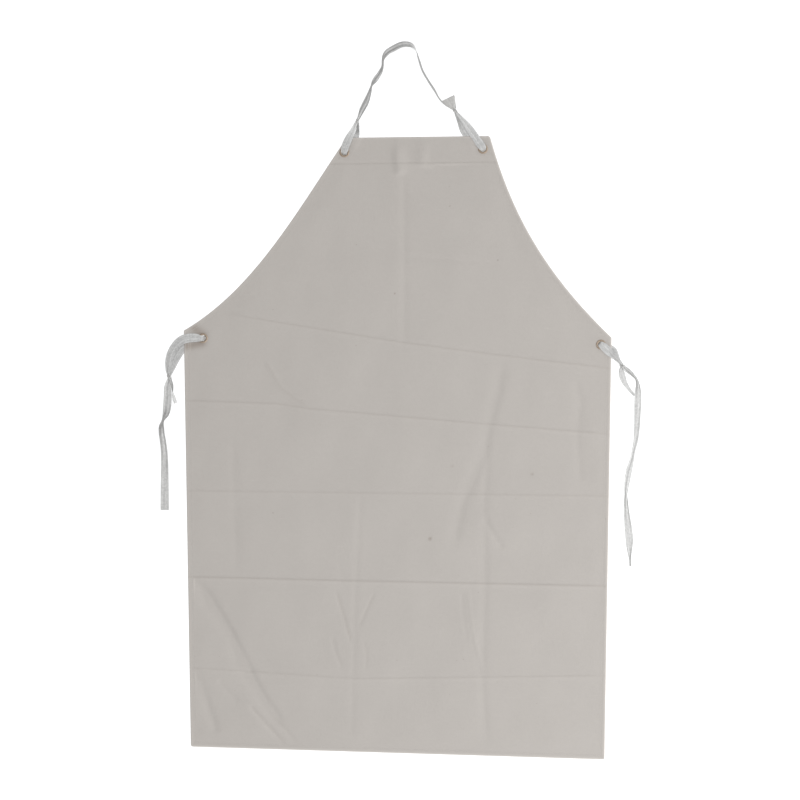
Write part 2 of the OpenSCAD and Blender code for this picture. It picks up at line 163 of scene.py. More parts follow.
class Nodes:
    """A material being built from nodes."""

    def __init__(self, name, roughness, metallic=0.0, sheen=0.0, sheen_roughness=0.5):
        self.material = bpy.data.materials.new(name)
        self.material.use_nodes = True
        self.tree = self.material.node_tree
        self.shader = self.tree.nodes["Principled BSDF"]
        self.shader.inputs["Roughness"].default_value = roughness
        self.shader.inputs["Metallic"].default_value = metallic
        self.shader.inputs["Sheen Weight"].default_value = sheen
        self.shader.inputs["Sheen Roughness"].default_value = sheen_roughness
        self.place = self.tree.nodes.new("ShaderNodeTexCoord").outputs["Object"]

    def link(self, source, socket):
        self.tree.links.new(source, socket)

    def set(self, socket, value):
        if isinstance(value, bpy.types.NodeSocket):
            self.link(value, socket)
        else:
            socket.default_value = value

    def scaled(self, scale, turn=0.0, source=None):
        node = self.tree.nodes.new("ShaderNodeMapping")
        node.inputs["Scale"].default_value = scale
        node.inputs["Rotation"].default_value = (0, 0, turn)
        self.link(source or self.place, node.inputs["Vector"])
        return node.outputs["Vector"]

    def noise(self, place, scale, detail=3.0, roughness=0.5):
        node = self.tree.nodes.new("ShaderNodeTexNoise")
        node.inputs["Scale"].default_value = scale
        node.inputs["Detail"].default_value = detail
        node.inputs["Roughness"].default_value = roughness
        self.link(place, node.inputs["Vector"])
        return node.outputs["Fac"]

    def wave(self, place, scale, distortion=0.0, direction="X"):
        node = self.tree.nodes.new("ShaderNodeTexWave")
        node.bands_direction = direction
        node.inputs["Scale"].default_value = scale
        node.inputs["Distortion"].default_value = distortion
        node.inputs["Detail"].default_value = 1.0
        self.link(place, node.inputs["Vector"])
        return node.outputs["Fac"]

    def ramp(self, value, low, high, out_low=0.0, out_high=1.0):
        node = self.tree.nodes.new("ShaderNodeMapRange")
        node.interpolation_type = "SMOOTHSTEP"
        self.link(value, node.inputs["Value"])
        node.inputs["From Min"].default_value = low
        node.inputs["From Max"].default_value = high
        node.inputs["To Min"].default_value = out_low
        node.inputs["To Max"].default_value = out_high
        return node.outputs["Result"]

    def math(self, operation, a, b=0.0):
        node = self.tree.nodes.new("ShaderNodeMath")
        node.operation = operation
        self.set(node.inputs[0], a)
        self.set(node.inputs[1], b)
        return node.outputs["Value"]

    def mix(self, share, a, b, blend="MIX"):
        node = self.tree.nodes.new("ShaderNodeMix")
        node.data_type = "RGBA"
        node.blend_type = blend
        self.set(node.inputs["Factor"], share)
        self.set(node.inputs["A"], a)
        self.set(node.inputs["B"], b)
        return node.outputs["Result"]

    def value(self, name):
        node = self.tree.nodes.new("ShaderNodeAttribute")
        node.attribute_name = name
        return node.outputs["Fac"]

    def bump(self, height, distance, strength=1.0, under=None):
        node = self.tree.nodes.new("ShaderNodeBump")
        node.inputs["Distance"].default_value = distance
        node.inputs["Strength"].default_value = strength
        self.link(height, node.inputs["Height"])
        if under is not None:
            self.link(under, node.inputs["Normal"])
        return node.outputs["Normal"]

    def finish(self, colour, roughness=None, normal=None):
        self.set(self.shader.inputs["Base Color"], colour)
        if roughness is not None:
            self.link(roughness, self.shader.inputs["Roughness"])
        if normal is not None:
            self.link(normal, self.shader.inputs["Normal"])
        return self.material


CLOTH_LIGHT = (0.375, 0.350, 0.326, 1)
CLOTH_DARK = (0.340, 0.316, 0.294, 1)
# Brown for real stains and for painted shade
CLOTH_STAIN_AND_SHADE = (0.190, 0.155, 0.128, 1)
CLOTH_PALE = (0.470, 0.438, 0.410, 1)


def cloth_material():
    """Unbleached cotton drill: steep twill lines, slubs, soft mottling, stains and painted shade, and
    pale edges of real wear with a painted highlight.
    """
    n = Nodes("cotton_drill", 0.92, sheen=0.25, sheen_roughness=0.55)
    twill = n.wave(n.scaled((1, 1, 1), math.radians(63)), 520, 0.6)
    warp = n.noise(n.scaled((900, 60, 60)), 1.0, 2.0)
    weft = n.noise(n.scaled((60, 900, 60)), 1.0, 2.0)
    slub = n.noise(n.scaled((34, 420, 34)), 1.0, 2.0)
    mottle = n.noise(n.place, 17, 4.0, 0.6)
    grain = n.noise(n.place, 260, 3.0, 0.6)
    neps = n.noise(n.place, 120, 1.0)
    colour = n.mix(n.ramp(mottle, 0.2, 0.8, 0.5, 0.8), CLOTH_DARK, CLOTH_LIGHT)
    colour = n.mix(n.ramp(grain, 0.3, 0.75, 0.0, 0.35), colour, CLOTH_DARK)
    colour = n.mix(n.ramp(slub, 0.62, 0.8, 0.0, 0.16), colour, CLOTH_PALE)
    colour = n.mix(n.ramp(twill, 0.2, 0.9, 0.0, 0.12), colour, CLOTH_DARK)
    colour = n.mix(n.ramp(neps, 0.79, 0.84, 0.0, 0.35), colour, CLOTH_STAIN_AND_SHADE)
    # Real stains, and painted shade along creases, in the seam groove, round the eyelets and beside
    # the pulled loop
    colour = n.mix(n.value("stain_and_shade"), colour, CLOTH_STAIN_AND_SHADE)
    # Pale edges: real wear, and a painted highlight of their rounded rims
    colour = n.mix(n.value("wear_and_highlight"), colour, CLOTH_PALE)
    rough = n.ramp(mottle, 0.2, 0.8, 0.84, 0.97)
    threads = n.math("ADD", warp, weft)
    normal = n.bump(twill, 0.00012, 0.5)
    normal = n.bump(threads, 0.00010, 0.5, normal)
    normal = n.bump(mottle, 0.0006, 0.25, normal)
    return n.finish(colour, rough, normal)


def tape_material():
    """White cotton herringbone tape. The value rib is painted shade: darker in the grooves between the
    woven ribs and on every second column.
    """
    n = Nodes("herringbone_tape", 0.88, sheen=0.2)
    fibre = n.noise(n.place, 700, 3.0, 0.6)
    cloud = n.noise(n.place, 45, 3.0)
    fleck = n.noise(n.place, 330, 2.0)
    rib = n.value("rib")
    colour = n.mix(n.ramp(cloud, 0.3, 0.7), (0.47, 0.468, 0.462, 1), (0.53, 0.527, 0.52, 1))
    colour = n.mix(n.ramp(fleck, 0.44, 0.62, 0.0, 0.6), colour, (0.30, 0.298, 0.292, 1))
    # Painted shade in the rib grooves and on every second column
    colour = n.mix(n.ramp(rib, 0.0, 0.6, 0.75, 0.0), colour, (0.22, 0.218, 0.214, 1))
    colour = n.mix(n.ramp(fibre, 0.35, 0.75, 0.0, 0.4), colour, (0.60, 0.60, 0.59, 1))
    # Painted shade on the tapes, and darker colour on the knots
    colour = n.mix(n.value("stain_and_shade"), colour, (0.21, 0.20, 0.185, 1))
    rough = n.ramp(fibre, 0.2, 0.8, 0.8, 0.95)
    return n.finish(colour, rough, n.bump(fibre, 0.00015, 0.6))


def thread_material():
    """Spun sewing thread, twisted from two plies."""
    n = Nodes("sewing_thread", 0.6, sheen=0.15)
    ply = n.wave(n.scaled((1, 1, 1), math.radians(40)), 700, 0.3)
    fuzz = n.noise(n.place, 900, 2.0)
    colour = n.mix(n.ramp(ply, 0.1, 0.9), (0.33, 0.31, 0.288, 1), (0.43, 0.41, 0.385, 1))
    colour = n.mix(n.ramp(fuzz, 0.4, 0.8, 0.0, 0.3), colour, (0.50, 0.48, 0.455, 1))
    rough = n.ramp(fuzz, 0.2, 0.8, 0.55, 0.75)
    return n.finish(colour, rough, n.bump(ply, 0.00012, 0.7))


def brass_material():
    """Rolled brass, dulled by handling: cloudy tarnish, fine scratches and small pits."""
    n = Nodes("eyelet_brass", 0.45, metallic=1.0)
    cloud = n.noise(n.place, 320, 4.0, 0.6)
    scratch = n.noise(n.scaled((260, 3200, 260), 0.7), 1.0, 2.0)
    pits = n.noise(n.place, 1800, 2.0)
    colour = n.mix(n.ramp(cloud, 0.3, 0.72), (0.34, 0.275, 0.22, 1), (0.43, 0.36, 0.29, 1))
    colour = n.mix(n.ramp(scratch, 0.55, 0.8, 0.0, 0.5), colour, (0.50, 0.42, 0.34, 1))
    colour = n.mix(n.ramp(pits, 0.68, 0.8, 0.0, 0.7), colour, (0.22, 0.15, 0.09, 1))
    rough = n.math("ADD", n.ramp(cloud, 0.2, 0.8, 0.80, 0.68), n.ramp(scratch, 0.5, 0.9, 0.0, 0.15))
    normal = n.bump(scratch, 0.00003, 0.5)
    return n.finish(colour, rough, n.bump(pits, 0.00004, 0.5, normal))


CLOTH = cloth_material()
TAPE = tape_material()
THREAD = thread_material()
BRASS = brass_material()

# ---- tapes ----------------------------------------------------------------------------------

TAPE_W = 14.0
TAPE_T = 0.6
TAPE_STEP = 0.5
TAPE_ACROSS = 27
RIB_PITCH = 1.7
RIB_DEPTH = 0.09
RIB_COLUMN = 3.5
RIB_LEAN = 0.9
# How much painted shade darkens every second column of the herringbone
RIB_SHADE = 0.45
PLEATS = 1.5
EYELET_SHADE = 0.85
FLOOR_GAP = 0.03


def tape_rows(route, pleat, seed):
    """Points round a woven tape along a route, its middle line, and the painted shade of its ribs.

    A route's points are x, y and height, then the tape's tilt and its share of the full width.
    """
    line = smooth_route(route, TAPE_STEP)
    centre = line[:, :3]
    tilt = np.radians(line[:, 3])[:, None]
    share = np.clip(line[:, 4], 0.15, 1.6)[:, None]
    way = unit(np.gradient(centre, axis=0))
    level = unit(np.stack([-way[:, 1], way[:, 0], 0 * way[:, 0]], 1))
    across = level * np.cos(tilt) + np.cross(way, level) * np.sin(tilt)
    face = np.cross(way, across)
    run = np.arange(len(line))[:, None] * TAPE_STEP
    u = np.linspace(-1, 1, TAPE_ACROSS)[None, :]
    half = share * TAPE_W / 2
    gather = np.sqrt(2 * np.maximum(1 / np.minimum(share, 1) ** 2 - 1, 0))
    depth = pleat * gather * half / (PLEATS * math.pi)
    phase = seed * 1.3 + run / 31
    cup = 0.35 * np.sin(run / 19 + seed) * min(1.0, pleat + 0.15)
    flutter = 0.22 * pleat * np.sin(run / 5.3 + 2 * np.sign(u) + seed) * np.abs(u) ** 3
    lift = depth * np.sin(PLEATS * math.pi * u + phase) + cup * (1 - u * u) + flutter
    x = u * half
    slope = np.gradient(lift, axis=1) / np.gradient(x, axis=1)
    bend = np.sqrt(1 + slope * slope)
    flat = u * TAPE_W / 2
    zigzag = np.abs(np.mod(flat / RIB_COLUMN, 2) - 1) * RIB_COLUMN * RIB_LEAN
    rib = 0.5 + 0.5 * np.cos(2 * math.pi * (run + zigzag) / RIB_PITCH)
    spine = np.abs(np.mod(flat / RIB_COLUMN + 0.5, 1) - 0.5)
    rib = rib * np.clip(spine * 7, 0, 1)
    selvedge = 0.12 * smoothstep(0.86, 0.95, np.abs(u)) * (1 - smoothstep(0.97, 1, np.abs(u)))
    edge = np.sqrt(np.clip(1 - np.abs(u) ** 24, 0, 1)) * 0.9 + 0.1
    layers = []
    for side in (1, -1):
        h = side * (TAPE_T / 2 * edge - RIB_DEPTH * (1 - rib) + selvedge)
        out = (
            centre[:, None, :]
            + across[:, None, :] * (x - slope / bend * h)[:, :, None]
            + face[:, None, :] * (lift + h / bend)[:, :, None]
        )
        layers.append(out)
    ring = np.concatenate([layers[0], layers[1][:, ::-1]], 1)
    ring[:, :, 2] = np.maximum(ring[:, :, 2], FLOOR_GAP)
    painted_rib_shade = rib * (1 - RIB_SHADE * np.mod(np.floor(flat / RIB_COLUMN), 2))
    return ring, centre, np.concatenate([painted_rib_shade, painted_rib_shade[:, ::-1]], 1)


def tape_mesh(name, routes, stain_and_shade=0.0, pleats=(1.0,), seed=0, eyelet=None):
    """One piece of tape, or several strands of one tape that meet inside an eyelet."""
    points, faces, ribs, shade_rows, lines = [], [], [], [], []
    first = 0
    for k, route in enumerate(routes):
        ring, centre, rib = tape_rows(route, pleats[k % len(pleats)], seed + k)
        rows, columns = ring.shape[:2]
        points.append(ring.reshape(-1, 3))
        ribs.append(rib.reshape(-1))
        # Painted shade over the whole strand
        painted_shade = np.full(rows, float(stain_and_shade))
        if eyelet is not None:
            away = np.linalg.norm(centre[:, :2] - eyelet, axis=1)
            # Painted shadow where the tape goes into the eyelet hole
            painted_shade += EYELET_SHADE * np.exp(-((away / 3.2) ** 4))
        shade_rows.append(np.repeat(painted_shade, columns))
        faces += grid_faces(rows, columns, closed=True, start=first).tolist()
        for base, order in ((first, 1), (first + (rows - 1) * columns, -1)):
            for j in range(TAPE_ACROSS - 1):
                quad = [base + j, base + columns - 1 - j, base + columns - 2 - j, base + j + 1]
                faces.append(quad[::-order])
        lines.append(centre)
        first += rows * columns
    obj = new_mesh(name, np.concatenate(points), faces, TAPE)
    fix_normals(obj)
    add_value(obj, "rib", np.concatenate(ribs))
    add_value(obj, "stain_and_shade", np.concatenate(shade_rows))
    return obj, lines[0]


def fix_normals(obj):
    work = bmesh.new()
    work.from_mesh(obj.data)
    bmesh.ops.recalc_face_normals(work, faces=work.faces)
    work.to_mesh(obj.data)
    work.free()


LEFT_NECK_FRONT = [
    (-93.5, 499, 1.4, 0, 0.4), (-92.6, 501, 3.2, 0, 0.6), (-91, 505.5, 4, 0, 0.85),
    (-89.5, 512, 3.9, 0, 0.95), (-84, 525, 3.8, 0, 0.93), (-76, 541, 4.2, 20, 0.64),
    (-71, 553, 4.4, 10, 0.36),
]
LEFT_NECK_BACK = [
    (-69, 554, 2.2, 10, 0.36), (-68, 543, 2.8, 45, 0.5), (-70, 532, 0.4, 0, 0.6),
    (-79, 515, 0.3, 0, 0.8), (-90, 504, 0.3, 0, 0.57), (-93.5, 499, 0.3, 0, 0.6),
]
RIGHT_NECK_FRONT = [
    (148.2, 505.2, 1.4, 0, 0.4), (147, 506.8, 3.2, 0, 0.6), (144.5, 511, 4, 0, 0.9),
    (141, 516, 3.9, 0, 1), (132, 529, 3.8, 0, 0.93), (120, 546, 3.9, 10, 0.86),
    (108, 561, 4.4, 20, 0.57), (100, 570, 4.4, 10, 0.36),
]
RIGHT_NECK_BACK = [
    (99, 570, 2.2, 10, 0.36), (104, 557, 2.4, 25, 0.5), (112, 540, 0.9, 5, 0.8),
    (120, 529, 0.3, 0, 0.8), (131, 518, 0.3, 0, 0.7), (144, 509, 0.3, 0, 0.57),
    (148, 505, 0.3, 0, 0.6),
]
NECK_ROUTE = [
    (-69.5, 556.5, 3.4, -10, 0.3), (-67, 561, 3.6, -12, 0.36), (-61, 575, 3.8, -15, 0.68),
    (-54, 589, 4.2, -18, 0.75), (-48, 605, 5, -45, 0.61), (-45, 615, 5.4, -72, 0.7),
    (-38, 627, 4.6, -28, 0.66), (-30, 639, 5, -38, 0.6), (-26, 649, 5.6, -72, 0.74),
    (-25, 660, 5.6, -70, 0.76), (-20, 671, 4.8, -26, 0.72), (-7, 680, 4.4, -22, 0.83),
    (10, 687, 4.4, -22, 0.83), (21, 686, 4.8, -32, 0.84), (30, 677, 7.1, -78, 1),
    (36, 660, 7.2, -97, 1), (42, 642, 7.2, -97, 1), (51, 626, 7.2, -97, 1),
    (62, 609, 7.2, -97, 1), (74, 590, 5.6, -97, 0.75), (85, 581, 4.2, -100, 0.5),
    (92, 578, 3.4, -110, 0.36),
]
RIGHT_NECK_END = [
    (97, 576, 5.6, 0, 0.4), (93, 581.5, 9, 0, 0.95), (88.5, 588, 12.5, 0, 1.4),
    (85.5, 594, 14.5, 0, 1.75),
]
LEFT_WAIST_FRONT = [
    (-328, 186.6, 1.4, 0, 0.35), (-329.5, 186.6, 3, 0, 0.45), (-333, 186, 3.8, 0, 0.6),
    (-341, 187, 3.9, 0, 0.95), (-354, 187, 3.9, 0, 1.1), (-368, 183, 4, 5, 1.1),
    (-380, 171, 4.4, 6, 1.05), (-387, 157, 4.5, 6, 1), (-390, 142, 4.5, 6, 0.85),
    (-391, 130, 4.6, 8, 0.5), (-389, 123, 4.4, 10, 0.36),
]
LEFT_WAIST_BACK = [
    (-389, 123, 2.2, 10, 0.36), (-384, 136, 1.8, 5, 0.64), (-378, 152, 1.2, 0, 0.95),
    (-370, 165, 0.5, 0, 1), (-359, 175, 0.3, 0, 1), (-346, 182, 0.3, 0, 0.86),
    (-333, 186, 0.3, 0, 0.5), (-327.5, 186.6, 0.3, 0, 0.6),
]
RIGHT_WAIST_FRONT = [
    (342, 178.8, 1.4, 0, 0.4), (343.2, 177.8, 3.2, 0, 0.6), (347, 175, 4, 0, 0.85),
    (353, 170, 3.9, 0, 1), (361, 162, 3.9, 0, 0.93), (368, 155, 4.4, 15, 0.6),
    (375, 148, 4.7, 15, 0.4), (381, 141, 4.4, 10, 0.34),
]
RIGHT_WAIST_BACK = [
    (382, 142, 2.2, 10, 0.34), (377, 149, 1.9, 15, 0.38), (373, 157, 1.2, 10, 0.6),
    (368, 165, 0.3, 0, 0.84), (358, 171, 0.3, 0, 0.86), (347, 175, 0.3, 0, 0.5),
    (342, 178.8, 0.3, 0, 0.6),
]
LEFT_WAIST_END = [
    (-387.5, 117, 4.8, 15, 0.36), (-383.5, 104, 6.2, 50, 0.6), (-382, 91, 6.2, 95, 0.75),
    (-378, 76, 5, 125, 0.5),
]
RIGHT_WAIST_END = [
    (381, 137, 2.2, -5, 0.36), (381.5, 126, 3.8, -30, 0.95), (386, 112, 4.3, -38, 0.9),
    (393, 101, 3, -38, 0.6), (403, 89, 1.8, -30, 0.4),
]
LEFT_TAIL = [
    (-390, 117, 2.6, -5, 0.36), (-392, 103, 2.2, -8, 0.84), (-392, 88, 2, -6, 0.93),
    (-393, 71, 2, -4, 0.97), (-395, 58, 2.8, 20, 0.87), (-400, 46, 4.4, 58, 0.68),
    (-402, 38, 4.4, 45, 0.9), (-402.5, 28, 3, 15, 0.76), (-400, 11, 2.4, 0, 0.75),
    (-398, -6, 2.2, -4, 0.79), (-397, -30, 2, -6, 0.85), (-397, -55, 1.8, -8, 0.93),
    (-397, -82, 1.8, -8, 0.97), (-397, -106, 1.2, -6, 1),
]
RIGHT_TAIL = [
    (384, 138, 4.3, 5, 0.36), (391, 132, 3.4, 20, 0.55), (400, 124, 3.2, 20, 0.4),
    (406, 117, 2.8, 10, 0.28), (408.5, 108, 2.4, 0, 0.45), (409, 96, 2.8, -14, 0.8),
    (409, 81, 3, -20, 0.94), (408.5, 64, 3, -20, 0.88), (408, 47, 2.8, -20, 0.8),
    (405.5, 13, 2.6, -20, 0.64), (402, -4, 2.4, -20, 0.52), (398.5, -21, 2.6, -20, 0.64),
    (394, -38, 2.8, -20, 0.84), (391, -55, 2.8, -20, 0.78), (389, -72, 2.4, -18, 0.52),
    (388.5, -80, 2.2, -16, 0.38), (388.5, -89, 2.2, -16, 0.5), (389.5, -106, 2.6, -18, 0.65),
    (391, -123, 2.8, -18, 0.84), (393, -140, 3, -18, 0.98), (394.5, -157, 3, -18, 1),
    (395, -174, 2.2, -12, 0.67), (395.5, -188, 1.6, -6, 0.3), (396, -202, 1.2, 0, 0.2),
]


KNOT_ROWS = 150
KNOT_SIDES = 28
KNOT_HALF_W = 1.75
KNOT_HALF_T = 0.62
# How much darker the knots are coloured
KNOT_DARKENING = 0.3


def overhand_knot(name, at, turn, length, width, seed):
    """A tape drawn into a tight overhand knot: one strand over and round itself."""
    t = np.linspace(-0.28, 2 * math.pi - 1.4, KNOT_ROWS)
    x = np.sin(t) + 2 * np.sin(2 * t)
    y = np.cos(t) - 2 * np.cos(2 * t)
    z = -np.sin(3 * t)
    line = np.stack([x * length / 5.2, y * width / 6.0, z * width / 3.3], 1)
    way = unit(np.gradient(line, axis=0))
    out = unit(line * (0.3, 1, 1))
    across = unit(np.cross(way, out))
    face = np.cross(across, way)
    ring = np.linspace(0, 2 * math.pi, KNOT_SIDES, endpoint=False)
    run = np.arange(KNOT_ROWS)[:, None]
    wide = KNOT_HALF_W + 0.15 * np.sin(run / 11 + seed)
    ribs = 0.06 * np.cos(6 * ring[None, :] + run / 3.1)
    points = (
        line[:, None, :]
        + across[:, None, :] * (wide * np.cos(ring)[None, :] * (1 + ribs))[:, :, None]
        + face[:, None, :] * ((KNOT_HALF_T + 2 * ribs) * np.sin(ring)[None, :])[:, :, None]
    )
    c, s = math.cos(math.radians(turn)), math.sin(math.radians(turn))
    points = points.reshape(-1, 3) @ np.array([[c, s, 0], [-s, c, 0], [0, 0, 1]]) + np.array(at)
    points[:, 2] = np.maximum(points[:, 2], FLOOR_GAP)
    faces = grid_faces(KNOT_ROWS, KNOT_SIDES, closed=True).tolist()
    faces.append(list(range(KNOT_SIDES)))
    faces.append([(KNOT_ROWS - 1) * KNOT_SIDES + j for j in range(KNOT_SIDES)])
    obj = new_mesh(name, points, faces, TAPE)
    fix_normals(obj)
    # Painted shade between the knot's ribs
    add_value(obj, "rib", 0.5 + np.tile(0.5 * np.cos(6 * ring), KNOT_ROWS))
    add_value(obj, "stain_and_shade", np.full(len(points), KNOT_DARKENING))
    return obj


# Each tape's CAD node, its body, its strands, how much painted shade darkens it, and how pleated each
# strand is
TAPES = (
    ("left_neck_loop", "apron", [LEFT_NECK_FRONT, LEFT_NECK_BACK], 0, (0.12, 0)),
    ("right_neck_loop", "apron", [RIGHT_NECK_FRONT, RIGHT_NECK_BACK], 0, (0.12, 0)),
    ("left_waist_loop", "left_tie", [LEFT_WAIST_FRONT, LEFT_WAIST_BACK], 0, (0.12, 0)),
    ("right_waist_loop", "right_tie", [RIGHT_WAIST_FRONT, RIGHT_WAIST_BACK], 0, (0.12, 0)),
    ("neck_strap", "neck_strap", [NECK_ROUTE], 0, (0.35,)),
    ("right_neck_end", "neck_strap", [RIGHT_NECK_END], 0.42, (0.5,)),
    ("left_waist_end", "left_tie", [LEFT_WAIST_END], 0, (0.4,)),
    ("right_waist_end", "right_tie", [RIGHT_WAIST_END], 0, (0.3,)),
    ("left_waist_tail", "left_tie", [LEFT_TAIL], 0.06, (0.3,)),
    ("right_waist_tail", "right_tie", [RIGHT_TAIL], 0.04, (0.3,)),
)
# Each knot's CAD node, its body, where it is, how it is turned, its length and its width
KNOTS = (
    ("left_neck_knot", "apron", (-69, 556, 3.4), 65, 8.5, 4.6),
    ("right_neck_knot", "apron", (98, 573, 3.4), 125, 8.5, 4.6),
    ("left_waist_knot", "left_tie", (-389, 120, 3.4), 100, 11, 6),
    ("right_waist_knot", "right_tie", (382, 140, 3.4), -45, 11, 6),
)

tapes = {}
middles = {}
for seed, (node, body, strands, stain_and_shade, pleats) in enumerate(TAPES, 1):
    eyelet = strands[0][0][:2] if len(strands) > 1 else None
    tapes[node], middles[node] = tape_mesh(
        f"{node}_tape", strands, stain_and_shade=stain_and_shade, pleats=pleats, seed=seed, eyelet=eyelet)
    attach(tapes[node], body)
    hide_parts(node)
for seed, (node, body, at, turn, length, width) in enumerate(KNOTS, 1):
    tapes[node] = overhand_knot(f"{node}_tape", at, turn, length, width, seed)
    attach(tapes[node], body)
    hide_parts(node)

# ---- outline of the cloth -------------------------------------------------------------------

HEM_L, HEM_R = np.array((-352.5, -509.25)), np.array((352.5, -531.25))
WAIST_L, WAIST_R = np.array((-364.5, 199.75)), np.array((364.5, 187.75))
TOP_L, TOP_R = np.array((-87, 528.25)), np.array((157, 531.25))
ARM_L = np.array([WAIST_L, WAIST_L + (120, 70), TOP_L - (85, 125), TOP_L])
ARM_R = np.array([WAIST_R, WAIST_R + (-120, 115), TOP_R - (-35, 125), TOP_R])
FOLD_CREASE = 2
EYELETS = {
    "bib_left": TOP_L + (-4, -25),
    "bib_right": TOP_R + (-12, -22),
    "waist_left": WAIST_L + (32.5, -13),
    "waist_right": WAIST_R + (-18.5, -12),
}
HOLE_R = 5.6
FLANGE_R = 9.5
CLOTH_T = 0.7
HEM_T = 2.0
TOP_STITCH = 44.0
STITCH = 7.3


def bezier(p, t):
    t = np.asarray(t, float)[:, None]
    near = (1 - t) ** 3 * p[0] + 3 * (1 - t) ** 2 * t * p[1]
    return near + 3 * (1 - t) * t**2 * p[2] + t**3 * p[3]


FINE = np.linspace(0, 1, 241)
LEFT_ARM, RIGHT_ARM = bezier(ARM_L, FINE), bezier(ARM_R, FINE)
TOP_WAY = unit(TOP_R - TOP_L)
TOP_DOWN = np.array((TOP_WAY[1], -TOP_WAY[0]))


def arm_at_depth(arm, corner, depths):
    """Points of an arm edge at these depths below the top edge."""
    below = (arm - corner) @ TOP_DOWN
    order = np.argsort(below)
    t = np.interp(depths, below[order], FINE[order])
    return np.stack([np.interp(t, FINE, arm[:, 0]), np.interp(t, FINE, arm[:, 1])], 1)


# ---- relief of the cloth --------------------------------------------------------------------

NARROW_EDGE = np.concatenate([
    LEFT_ARM[::-4], [HEM_L], [HEM_R], RIGHT_ARM[::4],
])
TOP_EDGE = np.array([TOP_L + (TOP_L - TOP_R), TOP_R + (TOP_R - TOP_L)])

# Long creases of the folded cloth, each from the left edge to the right edge
LONG_CREASES = [
    [(-352, -375), (-70, -394), (354, -389)],
    [(-356, -220), (-81, -227), (356, -236)],
    [(-358, -73.5), (359, -82.5)],
    [(-362, 80), (-209, 75), (-148, 66), (152, 40), (360, 23)],
    [(-304, 231), (-208, 214), (9, 179), (183, 156), (362, 135)],
]

# Height in mm (below 0 for a valley), half width left and right of its line in mm, how much painted
# shade darkens the line itself, and the points that it follows
CREASES = [
    (0.45, 1.8, 4.5, 0.06, LONG_CREASES[0]),
    (0.65, 1.8, 5.0, 0.14, LONG_CREASES[1]),
    (0.26, 1.8, 4.5, 0.08, LONG_CREASES[2]),
    (0.42, 1.8, 4.5, 0.10, LONG_CREASES[3]),
    (0.42, 1.8, 4.5, 0.10, LONG_CREASES[4]),
    (-0.30, 5.0, 5.0, 0, [(9, 328), (183, 311)]),
    (0.45, 2.5, 4.0, 0.12, [
        (-227, 150), (-209, 121), (-198, 101), (-172, 82), (-148, 66)]),
    (1.50, 12.0, 8.0, 0, [(-1, 540), (0, 490), (4, 462)]),
    (1.30, 16.0, 12.0, 0, [(44, 540), (42, 490), (40, 475)]),
    (-0.40, 7.0, 7.0, 0, [(10, 484), (11, 300), (10, 150)]),
    (-0.28, 5.0, 5.0, 0, [(-63, -50), (-74, -294), (-79, -515)]),
    (-0.45, 6.0, 8.0, 0, [(157, 42), (147, -106), (149, -237), (144, -392), (152, -524)]),
    (-0.80, 8.0, 13.0, 0, [(180, 156), (171, 95), (157, 44), (145, -12), (110, -97), (92, -180)]),
    (-0.60, 4.0, 6.0, 0, [(150, -116), (158, -140), (181, -173)]),
    (-0.30, 7.0, 7.0, 0, [(-282, 25), (-274, -220)]),
    (-0.40, 6.0, 8.0, 0, [(300, 122), (312, 80), (306, 20), (312, -63)]),
    (-1.60, 6.0, 16.0, 0, [
        (-346, -228), (-327, -246), (-303, -283), (-282, -318), (-265, -355), (-245, -396),
        (-221, -437), (-190, -476)]),
    (-0.80, 3.0, 4.0, 0.10, [(-254, -436), (-224, -470), (-188, -508)]),
    (-0.50, 3.0, 4.0, 0.06, [(-221, -450), (-190, -481), (-165, -509)]),
    (-0.50, 5.0, 7.0, 0, [(-308, -396), (-270, -435)]),
    (-0.80, 7.0, 10.0, 0, [(-345, -385), (-333, -413), (-307, -490)]),
    (-0.45, 2.0, 2.6, 0.12, [(-106, -240), (-92, -285), (-79, -333)]),
    (-0.40, 2.0, 2.6, 0.08, [(-39, -246), (-56, -283), (-66, -306)]),
    (-0.40, 2.4, 3.0, 0.06, [(-112, -322), (-104, -352), (-93, -378)]),
    (-0.30, 2.4, 3.0, 0.05, [(-59, -326), (-52, -350), (-54, -380)]),
    (0.40, 2.0, 2.6, 0, [(130, -322), (138, -352), (147, -388)]),
    (-0.30, 2.4, 2.4, 0, [(108, -242), (112, -290), (118, -332)]),
    (0.30, 2.4, 2.4, 0, [(120, -240), (125, -290), (132, -334)]),
]
# Lines beside the left waist loop, where it pulls the cloth; the cloth along them gets painted shade
PULLED = [[(-346, 203), (-332, 192)], [(-360, 173), (-334, 178)]]
UNDER_STRANDS = [LEFT_NECK_BACK, RIGHT_NECK_BACK, LEFT_WAIST_BACK, RIGHT_WAIST_BACK]

# Small dark spots: x, y, radius and strength
SPOTS = ((55, -155, 2.4, 0.8), (229, -45, 2.2, 0.5), (93, -31, 2.0, 0.3))

WAVES = 26
wave_rng = np.random.default_rng(SEED)
WAVE_LENGTHS = wave_rng.uniform(45, 190, WAVES)
WAVE_TURNS = wave_rng.uniform(0, math.pi, WAVES)
WAVE_STARTS = wave_rng.uniform(0, 2 * math.pi, WAVES)


def undulation(xy):
    """Slow, shallow unevenness of cloth that was folded and opened again."""
    total = np.zeros(len(xy))
    for length, turn, start in zip(WAVE_LENGTHS, WAVE_TURNS, WAVE_STARTS):
        along = xy @ (math.cos(turn), math.sin(turn))
        total += length * np.sin(2 * math.pi * along / length + start)
    return total / WAVE_LENGTHS.sum() * 4


# A crease fades out at an end that is nearer the middle than this
RUNS_OUT = 330
FADE = 0.12
EDGE_STEPS = [0, 0.25, 0.7, 1.4, 2.6, 4, 5.5, 6.6, 7.4, 8.4, 9.4, 10.6, 12, 15]
NARROW_RUN = 3200
STRAND_RISE = 0.72
LEAST_GAP = 0.2
EDGE_ROUND = 1.6


